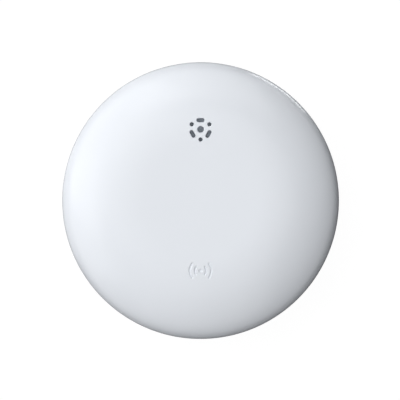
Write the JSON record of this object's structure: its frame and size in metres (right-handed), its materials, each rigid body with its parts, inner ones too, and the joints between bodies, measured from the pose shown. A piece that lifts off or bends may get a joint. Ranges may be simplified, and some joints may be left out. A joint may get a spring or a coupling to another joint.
{
  "type": "round item tracker",
  "caption": "Round pebble-shaped pocket item tracker with a sounder grille in a glossy front cover and a twist-off coin-cell door in its back.",
  "frame": {"origin": "middle of the flat ring on the back that the tracker lies on, on the battery door's turning axis", "axes": "+Z out of the front cover, +Y towards the sounder grille, +X to the right seen from the front"},
  "size_m": [0.038, 0.038, 0.0092],
  "materials": {
    "cover_plastic": "polished white moulding",
    "housing_plastic": "polished white moulding",
    "door_plastic": "fine matt white moulding",
    "seal_rubber": "soft grey silicone",
    "pad_foam": "closed-cell black foam",
    "cell_steel": "nickel-plated sheet",
    "grommet_plastic": "natural moulding",
    "board_laminate": "satin dark green solder mask",
    "screw_steel": "zinc-plated",
    "contact_metal": "nickel-plated spring sheet",
    "chip_plastic": "black moulding compound",
    "crystal_metal": "satin lid",
    "antenna_ceramic": "white fired body",
    "capacitor_ceramic": "tan fired body with tinned ends",
    "switch_plastic": "black moulding",
    "plunger_plastic": "white moulding",
    "sounder_brass": "rolled sheet",
    "piezo_ceramic": "silvered disc",
    "glue": "cured adhesive",
    "mesh_cloth": "fine woven acoustic mesh"
  },
  "bodies": {
    "housing": {"front_cover": "cover_plastic", "rear_housing": "housing_plastic", "cell_can": "cell_steel", "cell_grommet": "grommet_plastic", "cell_cap": "cell_steel", "main_board": "board_laminate", "board_screws": "screw_steel", "negative_contact": "contact_metal", "positive_contacts": "contact_metal", "radio_chip": "chip_plastic", "motion_sensor": "chip_plastic", "main_crystal": "crystal_metal", "clock_crystal": "crystal_metal", "chip_antenna": "antenna_ceramic", "buffer_capacitor": "capacitor_ceramic", "small_passives": "capacitor_ceramic", "switch_base": "switch_plastic", "switch_frame": "contact_metal", "switch_leads": "contact_metal", "switch_dome": "contact_metal", "buzzer_plate": "sounder_brass", "buzzer_ceramic": "piezo_ceramic", "buzzer_glue": "glue", "buzzer_contacts": "contact_metal", "grille_mesh": "mesh_cloth", "mesh_glue": "glue"},
    "door": {"battery_door": "door_plastic", "door_seal": "seal_rubber", "door_pad": "pad_foam"},
    "plunger": {"switch_plunger": "plunger_plastic"}
  },
  "joints": [
    {"name": "door_turn", "type": "hinge", "parent": "housing", "child": "door", "pos_m": [0, 0, 0], "axis": [0, 0, -1], "range_deg": [0, 30]},
    {"name": "switch_press", "type": "slide", "parent": "housing", "child": "plunger", "axis": [0, 0, -1], "range_m": [0, 0.0002], "stiffness_N_per_m": 5000, "deforming": ["switch_dome"]}
  ]
}
